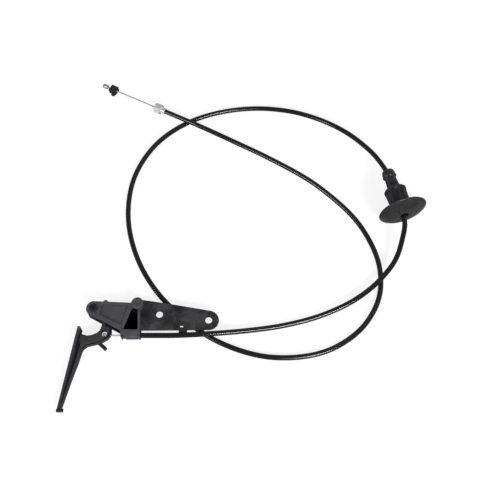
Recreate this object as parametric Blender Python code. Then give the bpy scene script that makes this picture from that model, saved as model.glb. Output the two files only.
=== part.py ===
"""Hood release cable: lever, housing and bracket at one end, a conduit in a loop with a
firewall grommet on it, and a ferrule, wire, clip and nipple at the latch end.

Sizes are in millimetres and become metres as each mesh is made. +Z is up, the object lies on
z = 0, and the origin is under the middle of the lever assembly.
Points (x, y) are measured from the lever's pivot. Latch pieces are drawn along the wire.
"""
import math

import bmesh
import bpy
from mathutils import Matrix, Vector

MM = 0.001
GAP = 0.3                       # clearance between pieces that touch

# Place of the lever's pivot, and the height of the plane through lever, wire and conduit end
PIVOT = (-45.1, 42.5)
MID_Z = 8.0

# Cable
CONDUIT_D = 5.0
CONDUIT_WALL = 1.25
WIRE_D = 1.5
WIRE_BORE_D = WIRE_D + 2 * GAP
CONDUIT_BORE_D = CONDUIT_D + 2 * GAP
CABLE_Y = -24.5                 # the wire's line, from the pivot
WIRE_REACH = 24.0               # length of lever-side wire inside the end cap and conduit

# Pivot and rivet
PIN_D = 4.4
PIN_HEAD_D = 6.6
PIN_HEAD_T = 1.2
RIVET_AT = (40.5, 4.0)
RIVET_D = 5.0
RIVET_HEAD_D = 11.0
RIVET_HEAD_T = 3.2
RIVET_TAIL_D = 8.0

# Lever
LEVER_T = 7.3                   # the arm, and the rib where it leaves the arm
GRIP_T = 12.0                   # the grip's flange at its upper tip
GRIP_TIP = -92.6                # how far the grip hangs below the pivot
RIB_Y = (-46.0, GRIP_TIP + 0.6) # the rib thins from the first place to the second
RIB_END_T = 3.4
GRIP_Y = (-17.0, GRIP_TIP)
GRIP_END_T = 4.0
EYE_R = 6.4
POCKET_AT = (11.4, CABLE_Y)
NIPPLE_D = 3.8
NIPPLE_H = 6.0
POCKET_R = NIPPLE_D / 2 + 0.5

# Housing
CHEEK_T = 2.5
CHEEK_GAP = 8.0
HOUSING_R = 7.1
PANEL_DEPTH = 0.8
SEAT_X = (26.3, 44.1)           # ends of the conduit seat
SEAT_FRONT = -25.6              # lower edge of the seat's front face
SEAT_WALL = (1.3, 1.8)          # its left and right end walls
CAP_D = 7.6

# Bracket
PLATE_T = 1.5
PLATE_Z = -0.4                  # its rear face, from the middle plane
SCREW_D = 6.5
INNER_SCREW = (60.6, -4.3)
OUTER_SCREW = (106.4, -9.9)
PLATE_END_R = 9.5
EAR_R = 6.8

# Grommet, along its axis from the mouth in the disc to the end of the bulb. Its disc stands on
# the floor
DISC_R = 23.8
GROMMET_BORE_R = CONDUIT_D / 2 + 0.6
GROMMET_AT = (294.3, 91.9, DISC_R)
GROMMET_TURN = 104.25

# Latch end, along the wire from the place where the conduit crosses itself
LATCH_AT = (81.0, 213.2, 8.2)
LATCH_TURN = 151.67
LATCH_DIP = 2.81
CONDUIT_END = 29.8
FERRULE = (CONDUIT_END + GAP, 35.0, 42.2)    # neck's end, hexagon's rear, hexagon's front
HEX_AF = 10.0
NECK_D = 6.2
CLIP = (92.0, 99.6)
LATCH_NIPPLE = (103.6, 109.2)
LATCH_NIPPLE_D = 4.8

# Route of the conduit's middle line: from the lever end to the grommet, then, past the grommet,
# round the loop, under the bracket, round again and across itself to the latch end
ROUTE_IN = (
    (57.6, -24.5, 8.0), (72.6, -24.5, 8.0), (105.1, -23.0, 8.1), (139.6, -19.0, 5.0),
    (176.6, -12.7, 2.7), (212.6, -2.5, 2.8), (247.1, 14.0, 6.2), (269.1, 32.2, 8.2),
    (284.6, 52.0, 11.8), (291.0, 69.6, 17.8), (293.8, 83.2, 22.2),
)
IN_GROMMET = (6.0, 25.0, 44.0)
ROUTE_ROUND = (
    (272.6, 158.2, 22.7), (259.8, 180.0, 16.0), (245.0, 199.0, 9.3), (227.6, 214.0, 4.5),
    (208.2, 224.3, 2.7), (166.6, 233.9, 2.5), (123.6, 231.8, 2.5), (81.1, 217.3, 2.5),
    (48.5, 191.1, 2.5), (27.2, 151.2, 2.5), (22.9, 105.5, 2.5), (33.0, 62.1, 2.5),
    (53.3, 24.9, 2.5), (79.1, -3.0, 2.5), (114.4, -28.2, 2.5), (167.0, -43.8, 2.5),
    (221.2, -35.0, 2.5), (251.8, -11.8, 2.5), (267.7, 18.0, 2.5), (269.8, 46.0, 2.5),
    (257.4, 85.9, 2.5), (217.7, 134.1, 2.5), (165.6, 170.6, 2.5), (128.0, 191.1, 3.6),
)
ROUTE_POINTS = 80


def clear_scene():
    for obj in list(bpy.data.objects):
        bpy.data.objects.remove(obj, do_unlink=True)


def material(name, colour, roughness, metallic):
    mat = bpy.data.materials.new(name)
    mat.use_nodes = True
    shader = mat.node_tree.nodes["Principled BSDF"]
    shader.inputs["Base Color"].default_value = (*colour, 1.0)
    shader.inputs["Roughness"].default_value = roughness
    shader.inputs["Metallic"].default_value = metallic
    return mat


def finish(name, bm, mat):
    """Turn a bmesh drawn in millimetres into an object."""
    bmesh.ops.recalc_face_normals(bm, faces=bm.faces)
    bmesh.ops.scale(bm, vec=(MM, MM, MM), verts=bm.verts)
    mesh = bpy.data.meshes.new(name)
    bm.to_mesh(mesh)
    bm.free()
    mesh.shade_smooth()
    mesh.set_sharp_from_angle(angle=math.radians(35))
    obj = bpy.data.objects.new(name, mesh)
    bpy.context.scene.collection.objects.link(obj)
    if mat:
        mesh.materials.append(mat)
    return obj


def boolean(obj, tool, operation="DIFFERENCE"):
    tool.hide_render = True
    tool.display_type = "WIRE"
    mod = obj.modifiers.new(tool.name, "BOOLEAN")
    mod.operation = operation
    mod.solver = "EXACT"
    mod.object = tool


def arc(cx, cy, r, start, end, steps):
    """Points on an arc, from one angle to another in degrees."""
    points = []
    for i in range(steps + 1):
        a = math.radians(start + (end - start) * i / steps)
        points.append((cx + r * math.cos(a), cy + r * math.sin(a)))
    return points


def rounded(corners, steps=4):
    """An outline whose corners (x, y, radius) are rounded."""
    points = []
    count = len(corners)
    for i, (x, y, r) in enumerate(corners):
        here = Vector((x, y))
        if r <= 0:
            points.append((x, y))
            continue
        before = (Vector(corners[i - 1][:2]) - here).normalized()
        after = (Vector(corners[(i + 1) % count][:2]) - here).normalized()
        half = before.angle(after) / 2
        reach = r / math.tan(half)
        centre = here + (before + after).normalized() * (r / math.sin(half))
        first = here + before * reach - centre
        last = here + after * reach - centre
        turn = first.angle_signed(last)
        for k in range(steps + 1):
            a = -turn * k / steps
            v = Matrix.Rotation(a, 2) @ first
            points.append((centre.x + v.x, centre.y + v.y))
    return points


def prism(name, outline, low, high, mat=None, edge=0.0, thin=None):
    """A flat outline extruded from one height to another, with its rims chamfered.
    A thinned one shrinks about its middle plane, evenly from one y down to another."""
    bm = bmesh.new()
    verts = [bm.verts.new((x, y, low)) for x, y in outline]
    face = bm.faces.new(verts)
    grown = bmesh.ops.extrude_face_region(bm, geom=[face])
    top = [v for v in grown["geom"] if isinstance(v, bmesh.types.BMVert)]
    bmesh.ops.translate(bm, vec=(0, 0, high - low), verts=top)
    if edge > 0:
        rims = [e for e in bm.edges if abs(e.verts[0].co.z - e.verts[1].co.z) < 1e-6]
        bmesh.ops.bevel(bm, geom=rims, offset=edge, segments=1, affect="EDGES")
    if thin:
        start, end, share = thin
        for vert in bm.verts:
            done = max(0.0, (vert.co.y - start) / (end - start))
            vert.co.z *= 1 + (share - 1) * done
    return finish(name, bm, mat)


def box(name, x, y, z, mat=None, edge=0.0):
    outline = [(x[0], y[0]), (x[1], y[0]), (x[1], y[1]), (x[0], y[1])]
    return prism(name, outline, z[0], z[1], mat, edge)


def turned(name, profile, mat=None, steps=32, closed=False):
    """A profile of (along, radius) points turned about X. A closed one leaves a bore."""
    bm = bmesh.new()
    verts = [bm.verts.new((x, r, 0)) for x, r in profile]
    for a, b in zip(verts, verts[1:]):
        bm.edges.new((a, b))
    if closed:
        bm.edges.new((verts[-1], verts[0]))
    bmesh.ops.spin(bm, geom=bm.verts[:] + bm.edges[:], cent=(0, 0, 0), axis=(1, 0, 0),
                   angle=math.tau, steps=steps, use_merge=True)
    bmesh.ops.remove_doubles(bm, verts=bm.verts, dist=0.0005)
    return finish(name, bm, mat)


def upright(name, x, y, profile, mat=None, steps=24, closed=False):
    """A turned piece whose axis stands along Z, at a point of the lever assembly."""
    obj = turned(name, profile, mat, steps, closed)
    stand = Matrix.Translation((x * MM, y * MM, 0)) @ Matrix.Rotation(-math.pi / 2, 4, "Y")
    obj.data.transform(stand)
    return obj


def rod(name, r, x, y, low, high, mat=None, steps=24):
    return upright(name, x, y, ((low, 0), (low, r), (high, r), (high, 0)), mat, steps)


def along_x(name, r, x0, x1, y, z, mat=None, steps=24):
    obj = turned(name, ((x0, 0), (x0, r), (x1, r), (x1, 0)), mat, steps)
    obj.data.transform(Matrix.Translation((0, y * MM, z * MM)))
    return obj


def channel(name, r, x0, x1):
    """A cutter for a round-bottomed channel along the cable's line, open to the south."""
    section = [(z, y) for y, z in ((-31.0, r), (-31.0, -r))]
    section += [(z, y + CABLE_Y) for z, y in arc(0, 0, r, 180, 0, 12)]
    obj = prism(name, section, x0, x1)
    obj.data.transform(Matrix(((0, 0, 1, 0), (0, 1, 0, 0), (1, 0, 0, 0), (0, 0, 0, 1))))
    obj.data.flip_normals()
    return obj


def world(x, y, z):
    """Metres in the world for a point measured from the pivot, at a height above the floor."""
    return Vector((PIVOT[0] + x, PIVOT[1] + y, z)) * MM


def put(objects, place, turn=0.0, dip=0.0):
    for obj in objects:
        obj.location = world(*place)
        obj.rotation_euler = (0, math.radians(dip), math.radians(turn))


def point_along(start, turn, dip, along):
    """A point on the straight line of the grommet or of the latch end."""
    turned_z = Matrix.Rotation(math.radians(turn), 3, "Z")
    turned_y = Matrix.Rotation(math.radians(dip), 3, "Y")
    return Vector(start) + turned_z @ turned_y @ Vector((along, 0, 0))


def smooth_route(points, count):
    """Points spaced evenly on a smooth curve through the route's own points."""
    pts = [Vector(p) for p in points]
    spans = [(b - a).length for a, b in zip(pts, pts[1:])]
    slopes = [(b - a) / s for a, b, s in zip(pts, pts[1:], spans)]
    tangents = [slopes[0]]
    for i in range(1, len(pts) - 1):
        share = spans[i - 1] + spans[i]
        tangents.append((slopes[i - 1] * spans[i] + slopes[i] * spans[i - 1]) / share)
    tangents.append(slopes[-1])
    fine = []
    for i, span in enumerate(spans):
        for k in range(24):
            t = k / 24
            a = (2 * t ** 3 - 3 * t ** 2 + 1) * pts[i]
            b = (t ** 3 - 2 * t ** 2 + t) * span * tangents[i]
            c = (3 * t ** 2 - 2 * t ** 3) * pts[i + 1]
            d = (t ** 3 - t ** 2) * span * tangents[i + 1]
            fine.append(a + b + c + d)
    fine.append(pts[-1])
    total = sum((b - a).length for a, b in zip(fine, fine[1:]))
    step = total / (count - 1)
    even = [fine[0]]
    walked = 0.0
    for a, b in zip(fine, fine[1:]):
        length = (b - a).length
        while walked + length >= step * len(even) and len(even) < count - 1:
            even.append(a.lerp(b, (step * len(even) - walked) / length))
        walked += length
    even.append(fine[-1])
    return even


clear_scene()
BLACK_PLASTIC = material("black_plastic", (0.047, 0.046, 0.055), 0.55, 0.0)
HOUSING_PLASTIC = material("housing_plastic", (0.055, 0.054, 0.064), 0.6, 0.0)
BRACKET_PAINT = material("bracket_paint", (0.038, 0.037, 0.045), 0.5, 0.2)
RIVET_BLACK = material("rivet_black", (0.06, 0.06, 0.065), 0.45, 0.3)
CONDUIT_BLACK = material("conduit_black", (0.012, 0.012, 0.014), 0.3, 0.0)
GROMMET_RUBBER = material("grommet_rubber", (0.022, 0.022, 0.024), 0.45, 0.0)
ZINC = material("bright_zinc", (0.68, 0.70, 0.72), 0.28, 1.0)
WIRE_STEEL = material("stranded_steel", (0.55, 0.56, 0.56), 0.35, 1.0)
CLIP_PLASTIC = material("clip_plastic", (0.018, 0.02, 0.021), 0.5, 0.0)

# Heights about the middle plane
CHEEK_IN = CHEEK_GAP / 2
CHEEK_OUT = CHEEK_IN + CHEEK_T
HALF = LEVER_T / 2

# Lever: arm with eye and nipple boss, a ridge round the boss, and the grip with flange and rib
arm = arc(0, 0, EYE_R, 25, 232, 18)
arm += [(8.6, -11.2), (8.1, -16.5), (6.8, -20.6), (4.2, -23.0), (-0.3, -25.0), (-4.4, -25.6)]
arm += [(-7.6, -24.6), (-10.2, -24.0), (-14.0, -40.0), (-13.6, -46.0), (-9.7, -46.0)]
arm += [(-8.6, -42.0), (-7.0, -38.0), (-3.4, -35.1), (1.6, -33.9), (5.4, -32.9), (8.6, -31.1)]
arm += [(12.9, -28.4), (15.4, -25.4), (16.5, -21.8), (16.3, -17.4), (14.2, -9.4)]
lever = prism("release_lever", arm, -HALF, HALF, BLACK_PLASTIC, 0.4)
ridge = [(9.0, -10.6), (9.6, -29.0), (3.0, -31.0), (4.6, -33.6), (10.4, -31.9), (14.7, -29.1)]
ridge += [(17.3, -25.6), (17.9, -22.0), (17.4, -17.0), (14.9, -9.0)]
boolean(lever, prism("boss_ridge", ridge, -2.1, 2.1, None, 0.3), "UNION")
rib = [(-14.6, -38.0), (-24.0, GRIP_TIP + 0.8), (-20.6, GRIP_TIP + 0.8), (-14.9, -67.2)]
rib += [(-10.6, -51.0), (-8.9, -43.0), (-8.0, -38.6)]
rib_thin = (*RIB_Y, RIB_END_T / LEVER_T)
boolean(lever, prism("grip_rib", rib, -HALF, HALF, None, 0.4, rib_thin), "UNION")
grip = rounded([(-13.4, -17.0, 1.2), (-24.9, GRIP_TIP, 0.6), (-22.6, GRIP_TIP - 0.1, 0.6),
                (-10.4, -17.3, 1.4)])
grip_thin = (*GRIP_Y, GRIP_END_T / GRIP_T)
boolean(lever, prism("grip_flange", grip, -GRIP_T / 2, GRIP_T / 2, None, 0.6, grip_thin), "UNION")
bead = along_x("grip_bead", 1.75, -25.6, -19.4, GRIP_TIP - 1.4, 0, None, 16)
boolean(lever, bead, "UNION")
finger = rounded([(3.9, -31.5, 0), (12.6, -39.2, 1.3), (14.9, -36.9, 1.3), (7.4, -30.4, 0)])
boolean(lever, prism("stop_finger", finger, -2.6, 1.4, None, 0.4), "UNION")
web = [(-11.5, -30.0), (-21.9, GRIP_TIP + 5.1), (-21.3, GRIP_TIP + 5.1), (-18.0, -74.0)]
web += [(-13.6, -55.0), (-10.6, -42.0), (-9.4, -34.0)]
neck = [(8.9, -6.2), (12.2, -7.6), (15.0, -14.0), (14.9, -16.6), (12.4, -17.9), (11.2, -14.6)]
for side, low, high in (("front", 2.2, 8.0), ("rear", -8.0, -2.2)):
    boolean(lever, prism("web_" + side, web, low, high, None, 0, rib_thin))
    boolean(lever, prism("neck_" + side, neck, low, high))
boolean(lever, rod("eye_bore", PIN_D / 2 + GAP, 0, 0, -9, 9))
# The nipple stays on the wire's line while the pocket swings, so the pocket is long and the
# wire's slot fans out inside the arm
pocket = arc(POCKET_AT[0] + 0.1, POCKET_AT[1] - 0.1, POCKET_R, 205, 385, 10)
pocket += arc(POCKET_AT[0] - 1.1, POCKET_AT[1] + 2.4, POCKET_R, 25, 205, 10)
boolean(lever, prism("nipple_pocket", pocket, -9, 9))
slot = [(10.0, CABLE_Y - 1.15), (24.0, CABLE_Y - 1.15), (24.0, -12.2), (9.6, -20.9)]
boolean(lever, prism("wire_slot", slot, -1.15, 1.15))

# Housing: two cheeks, joined by the upper wall, the right-hand bar and the conduit seat
seat_low, seat_high = SEAT_X
lower = CABLE_Y - CAP_D / 2 + 0.9
front = arc(0, 0, HOUSING_R, 96, 224, 14)
front += [(seat_low, -21.9), (seat_low, SEAT_FRONT), (seat_high, SEAT_FRONT), (43.3, -1.4)]
front += arc(*RIVET_AT, 5.6, -52, 118, 12)
front += [(34.0, 5.5)]
housing = prism("lever_housing", front, CHEEK_IN, CHEEK_OUT, HOUSING_PLASTIC, 0.5)
boolean(housing, prism("rear_cheek", front, -CHEEK_OUT, -CHEEK_IN, None, 0.5), "UNION")
upper = [(19.0, 5.9), (19.0, 3.4), (38.0, 2.1), (38.0, 5.0)]
boolean(housing, prism("upper_wall", upper, -CHEEK_IN - 0.6, CHEEK_IN + 0.6), "UNION")
boolean(housing, rod("rivet_boss", 5.3, *RIVET_AT, -CHEEK_IN - 0.7, CHEEK_IN + 0.7), "UNION")
bar = [(40.9, -0.6), (42.8, -0.6), (43.8, -21.0), (42.0, -21.0)]
boolean(housing, prism("bar_wall", bar, -CHEEK_IN - 0.8, CHEEK_IN + 0.8), "UNION")
boolean(housing, box("seat_floor", (seat_low + 0.1, seat_high - 0.1), (CABLE_Y - 0.7, -19.4),
                     (-CHEEK_IN - 0.7, 3.0)), "UNION")
boolean(housing, box("seat_north", (seat_low + 0.2, seat_high - 0.2), (-21.0, -19.5),
                     (1.0, CHEEK_IN + 0.6)), "UNION")
left_wall = (seat_low + 0.15, seat_low + SEAT_WALL[0])
right_wall = (seat_high - SEAT_WALL[1], seat_high - 0.15)
boolean(housing, box("seat_left", left_wall, (lower, -20.1), (-4.4, 4.4), None, 0.3), "UNION")
boolean(housing, box("seat_right", right_wall, (lower, -20.1), (-4.4, 4.4), None, 0.3), "UNION")
nub = arc(10.7, 5.7, 2.4, -20, 200, 10)
boolean(housing, prism("nub", nub, CHEEK_IN + 0.2, CHEEK_OUT + 0.2, None, 0.3), "UNION")
window = rounded([(35.8, 0.4, 0.5), (28.7, -21.0, 0.5), (42.1, -21.0, 0.5), (40.9, -1.6, 0.5)])
boolean(housing, prism("window", window, 1.5, 9.0))
panel = rounded([(7.0, 3.5, 1.2), (5.9, -6.5, 1.6), (26.6, -16.5, 0.8), (31.9, 3.1, 1.2)])
boolean(housing, prism("panel_recess", panel, CHEEK_OUT - PANEL_DEPTH, 9.0))
boolean(housing, rod("pin_bore", PIN_D / 2 + GAP, 0, 0, -9, 9))
boolean(housing, rod("rivet_bore", RIVET_D / 2 + GAP, *RIVET_AT, -9, 9))
SLOT_Z = (PLATE_Z - GAP, PLATE_Z + PLATE_T + GAP)
plate_slot = arc(*RIVET_AT, EAR_R + GAP, 90, 282, 14)
plate_slot += [(42.2, -3.0), (42.6, -21.5), (50.0, -21.5), (50.0, 12.0)]
boolean(housing, prism("plate_slot", plate_slot, *SLOT_Z))
# The bar and the seat stay clear of a flat panel that the plate lies on
panel_room = box("panel_room", (42.9, 50.0), (-20.05, -2.9), (0.3 - CHEEK_IN, PLATE_Z))
boolean(housing, panel_room)
CAP_FROM = seat_low + SEAT_WALL[0]
CAP_TO = seat_high - SEAT_WALL[1]
bay_r = CAP_D / 2 + GAP
boolean(housing, channel("cap_bay", bay_r, CAP_FROM, CAP_TO))
boolean(housing, channel("wire_way", WIRE_BORE_D / 2, 20.0, CAP_FROM + 0.5))
boolean(housing, along_x("conduit_way", CONDUIT_BORE_D / 2 + 0.05, CAP_TO - 0.5, 50.0, CABLE_Y, 0))

# Pivot pin with a six-sided recess in its head, and the ring pushed on its tail
PIN_TAIL = -MID_Z
pin_profile = ((PIN_TAIL, 0), (PIN_TAIL, PIN_D / 2 - 0.4), (PIN_TAIL + 0.4, PIN_D / 2),
               (CHEEK_OUT + GAP, PIN_D / 2), (CHEEK_OUT + GAP, PIN_HEAD_D / 2),
               (CHEEK_OUT + GAP + PIN_HEAD_T - 0.3, PIN_HEAD_D / 2),
               (CHEEK_OUT + GAP + PIN_HEAD_T, PIN_HEAD_D / 2 - 0.3),
               (CHEEK_OUT + GAP + PIN_HEAD_T, 0))
pin = upright("pivot_pin", 0, 0, pin_profile, RIVET_BLACK)
recess_top = CHEEK_OUT + GAP + PIN_HEAD_T
boolean(pin, rod("pin_recess", 1.6, 0, 0, recess_top - 1.0, recess_top + 1.0, None, 6))
ring_r = PIN_D / 2 + 2.3
ring_profile = ((-CHEEK_OUT - GAP - 0.9, PIN_D / 2 + GAP), (-CHEEK_OUT - GAP - 0.9, ring_r - 0.3),
                (-CHEEK_OUT - GAP - 0.6, ring_r), (-CHEEK_OUT - GAP, ring_r),
                (-CHEEK_OUT - GAP, PIN_D / 2 + GAP))
retainer = upright("pin_retainer", 0, 0, ring_profile, ZINC, 24, True)

# Rivet with a thick, stepped head
base = CHEEK_OUT + GAP
head_r = RIVET_HEAD_D / 2
top = base + RIVET_HEAD_T
rivet_profile = ((-base - 1.1, 0), (-base - 1.1, RIVET_TAIL_D / 2 - 0.5),
                 (-base - 0.6, RIVET_TAIL_D / 2), (-base, RIVET_TAIL_D / 2),
                 (-base, RIVET_D / 2), (base, RIVET_D / 2), (base, head_r),
                 (top - 0.7, head_r), (top - 0.2, head_r - 0.4), (top, head_r - 1.0),
                 (top, 2.6), (top - 0.4, 2.3), (top - 0.4, 0))
rivet = upright("housing_rivet", *RIVET_AT, rivet_profile, RIVET_BLACK, 32)

# Bracket: flat plate with an ear round the rivet and a round outer end
end_x, end_y = OUTER_SCREW
plate = arc(RIVET_AT[0], RIVET_AT[1], EAR_R, 76, 280, 16)
plate += [(42.6, -3.0), (43.0, -20.1), (end_x - 4.6, end_y - PLATE_END_R - 0.1)]
plate += arc(end_x, end_y, PLATE_END_R, -88, 80, 16)
plate += [(72.4, 5.9), (56.0, 8.6)]
bracket = prism("mounting_bracket", plate, PLATE_Z, PLATE_Z + PLATE_T, BRACKET_PAINT, 0.25)
TONGUE_X = (78.9, 86.7)
cable_north = CABLE_Y + CONDUIT_D / 2 + GAP + 0.25
tongue_top = -CONDUIT_D / 2 - GAP
tongue = [(PLATE_Z + PLATE_T - 0.2, -18.6), (PLATE_Z + 0.2, -18.6), (PLATE_Z + 0.2, -19.9),
          (tongue_top - PLATE_T + 0.8, cable_north + PLATE_T), (tongue_top - PLATE_T, -20.9),
          (tongue_top - PLATE_T, -25.0), (tongue_top, -25.0), (tongue_top, cable_north + 0.1),
          (0.3, cable_north), (0.9, -20.3)]
strip = prism("cable_tongue", [(z, y) for z, y in tongue], *TONGUE_X)
strip.data.transform(Matrix(((0, 0, 1, 0), (0, 1, 0, 0), (1, 0, 0, 0), (0, 0, 0, 1))))
strip.data.flip_normals()
boolean(bracket, strip, "UNION")
swell = upright("slot_swell", 81.7, -14.6, ((PLATE_Z + 0.4, 0), (PLATE_Z + 0.4, 4.0),
                (PLATE_Z + PLATE_T + 0.1, 4.0), (PLATE_Z + PLATE_T + 0.7, 3.2),
                (PLATE_Z + PLATE_T + 1.1, 1.8), (PLATE_Z + PLATE_T + 1.2, 0)))
boolean(bracket, swell, "UNION")
boolean(bracket, box("swell_mouth", (76.0, 88.0), (-19.4, -15.6),
                     (PLATE_Z + PLATE_T + 0.02, 5.0)))
small_slot = arc(82.4, -16.0, 0.9, -90, 90, 6) + arc(80.9, -16.0, 0.9, 90, 270, 6)
boolean(bracket, prism("small_slot", small_slot, -3, 5))
boolean(bracket, rod("ear_hole", RIVET_D / 2 + GAP, *RIVET_AT, -3, 5))
for number, (x, y) in enumerate((INNER_SCREW, OUTER_SCREW), 1):
    boolean(bracket, rod(f"screw_hole_{number}", SCREW_D / 2, x, y, -3, 5, None, 32))

# Sleeve that ends the conduit in the seat, narrower at its left end
bore = WIRE_BORE_D / 2
cap_r = CAP_D / 2
cap_profile = ((CAP_FROM + GAP, bore), (CAP_FROM + GAP, cap_r - 1.3),
               (CAP_FROM + GAP + 0.3, cap_r - 1.0), (31.0, cap_r - 1.0), (31.0, cap_r - 0.3),
               (31.3, cap_r), (CAP_TO - GAP - 0.4, cap_r), (CAP_TO - GAP, cap_r - 0.4),
               (CAP_TO - GAP, bore))
cap = turned("conduit_end_cap", cap_profile, HOUSING_PLASTIC, 24, True)
cap.data.transform(Matrix.Translation((0, CABLE_Y * MM, 0)))
assembly = [o for o in bpy.data.objects]
put(assembly, (0, 0, MID_Z))

# Wire at the lever end and the nipple on it, drawn about the nipple's place
wire = along_x("inner_wire_lever_end", WIRE_D / 2, -1.2, CAP_FROM + WIRE_REACH - POCKET_AT[0], 0, 0,
               WIRE_STEEL, 10)
nipple_h = NIPPLE_H / 2
nipple_profile = ((-nipple_h, 0), (-nipple_h, NIPPLE_D / 2 - 0.3), (-nipple_h + 0.3, NIPPLE_D / 2),
                  (nipple_h - 0.3, NIPPLE_D / 2), (nipple_h, NIPPLE_D / 2 - 0.3), (nipple_h, 0))
nipple = upright("lever_nipple", 0, 0, nipple_profile, ZINC, 20)
nipple_bore = along_x("nipple_bore", WIRE_BORE_D / 2, -5, 5, 0, 0, None, 12)
boolean(nipple, nipple_bore)
put((wire, nipple, nipple_bore), (*POCKET_AT, MID_Z))

# Grommet: domed disc, groove for the panel's edge, shouldered body, neck and bulb
grommet_profile = (
    (0.0, 4.3), (0.25, 7.5), (1.0, 12.5), (2.4, 17.2), (4.0, 20.9), (5.2, DISC_R - 1.0),
    (5.9, DISC_R - 0.15), (6.5, DISC_R), (7.0, DISC_R - 0.4), (7.2, DISC_R - 1.4), (7.2, 9.3),
    (10.2, 9.3), (10.2, 9.6), (10.8, 9.9), (25.8, 10.6), (26.0, 10.1), (26.8, 10.1),
    (27.0, 11.0), (29.2, 11.0), (30.6, 9.6), (31.4, 6.9), (33.0, 6.4), (43.6, 5.6),
    (44.3, 6.6), (45.1, 7.0), (46.1, 6.7), (48.8, 6.5), (51.0, 5.9), (52.4, 4.9),
    (48.0, 3.7), (42.0, GROMMET_BORE_R), (12.0, GROMMET_BORE_R), (5.0, 3.6),
)
grommet = turned("firewall_grommet", grommet_profile, GROMMET_RUBBER, 36, True)
put([grommet], GROMMET_AT, GROMMET_TURN)

# Latch end: hexagonal ferrule with a crimped neck
neck_end, hex_rear, hex_front = FERRULE
corner = HEX_AF / math.sqrt(3)
hex_profile = ((hex_rear, 0), (hex_rear, corner - 0.7), (hex_rear + 0.5, corner),
               (hex_front - 0.5, corner), (hex_front, corner - 0.7), (hex_front, 0))
ferrule = turned("latch_ferrule", hex_profile, ZINC, 6)
neck_profile = ((neck_end, 0), (neck_end, NECK_D / 2 - 0.3), (neck_end + 0.3, NECK_D / 2),
                (hex_rear + 2.0, NECK_D / 2), (hex_rear + 2.0, 0))
neck = turned("ferrule_neck", neck_profile, None, 24)
boolean(ferrule, neck, "UNION")
wire_bore = turned("ferrule_bore", ((neck_end - 2, 0), (neck_end - 2, WIRE_BORE_D / 2),
                                    (hex_front + 2, WIRE_BORE_D / 2), (hex_front + 2, 0)), None, 12)
boolean(ferrule, wire_bore)
dimples = []
for number, angle in enumerate((20, 110, 200, 290), 1):
    dimple = box(f"crimp_{number}", (neck_end + 1.3, hex_rear - 1.2), (-1.1, 1.1),
                 (NECK_D / 2 - 0.6, NECK_D / 2 + 1.0))
    dimple.data.transform(Matrix.Rotation(math.radians(angle), 4, "X"))
    boolean(ferrule, dimple)
    dimples.append(dimple)

# Wire at the latch end, its clip and the barrel nipple
latch_wire = turned("inner_wire_latch_end",
                    ((hex_front - 16.0, 0), (hex_front - 16.0, WIRE_D / 2),
                     (LATCH_NIPPLE[1] - 1.6, WIRE_D / 2), (LATCH_NIPPLE[1] - 1.6, 0)),
                    WIRE_STEEL, 10)
clip = box("wire_clip", CLIP, (-3.5, 3.5), (-3.2, 2.4), CLIP_PLASTIC, 0.4)
foot = box("clip_foot", (CLIP[0] + 0.5, CLIP[0] + 3.6), (2.6, 6.0), (-3.0, -0.6), None, 0.3)
boolean(clip, foot, "UNION")
clip_bore = turned("clip_bore", ((CLIP[0] - 2, 0), (CLIP[0] - 2, WIRE_BORE_D / 2),
                                 (CLIP[1] + 2, WIRE_BORE_D / 2), (CLIP[1] + 2, 0)), None, 12)
boolean(clip, clip_bore)
n0, n1 = LATCH_NIPPLE
nipple_r = LATCH_NIPPLE_D / 2
barrel_profile = ((n0, bore), (n0, nipple_r - 0.5), (n0 + 0.5, nipple_r), (n1 - 0.5, nipple_r),
                  (n1, nipple_r - 0.5), (n1, 0), (n1 - 1.2, 0), (n1 - 1.2, bore))
barrel = turned("latch_nipple", barrel_profile, ZINC, 20, True)
latch_set = (ferrule, neck, wire_bore, *dimples, latch_wire, clip, foot, clip_bore, barrel)
put(latch_set, LATCH_AT, LATCH_TURN, LATCH_DIP)

# Conduit: one tube from the end cap to the ferrule's neck, lying no lower than the floor
line = [Vector((CAP_TO, CABLE_Y, MID_Z))]
line += [Vector(p) for p in ROUTE_IN]
line += [point_along(GROMMET_AT, GROMMET_TURN, 0, along) for along in IN_GROMMET]
line += [Vector(p) for p in ROUTE_ROUND]
line += [point_along(LATCH_AT, LATCH_TURN, LATCH_DIP, along) for along in (-1.0, 9.0, CONDUIT_END)]
path = bpy.data.curves.new("conduit", "CURVE")
path.dimensions = "3D"
path.bevel_depth = CONDUIT_D / 2 * MM
path.bevel_resolution = 2
path.use_fill_caps = False
spline = path.splines.new("POLY")
route = smooth_route(line, ROUTE_POINTS)
spline.points.add(len(route) - 1)
for point, place in zip(spline.points, route):
    point.co = (*world(place.x, place.y, max(place.z, CONDUIT_D / 2)), 1.0)
conduit = bpy.data.objects.new("conduit", path)
conduit.data.materials.append(CONDUIT_BLACK)
bpy.context.scene.collection.objects.link(conduit)
wall = conduit.modifiers.new("wall", "SOLIDIFY")
wall.thickness = CONDUIT_WALL * MM
wall.offset = -1.0
wall.use_even_offset = True
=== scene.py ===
"""Dress the hood release cable: finely ribbed conduit, rubber grommet, moulded lever and
housing, coated bracket, and the plated fittings and stranded wires at both ends.

Outlines are in millimetres. Those of the lever end are measured from the lever's pivot and from
the plane through lever, wire and conduit end; those of the latch end run along the wire.
"""
import math

import bpy
from mathutils import Matrix, Vector

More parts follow.
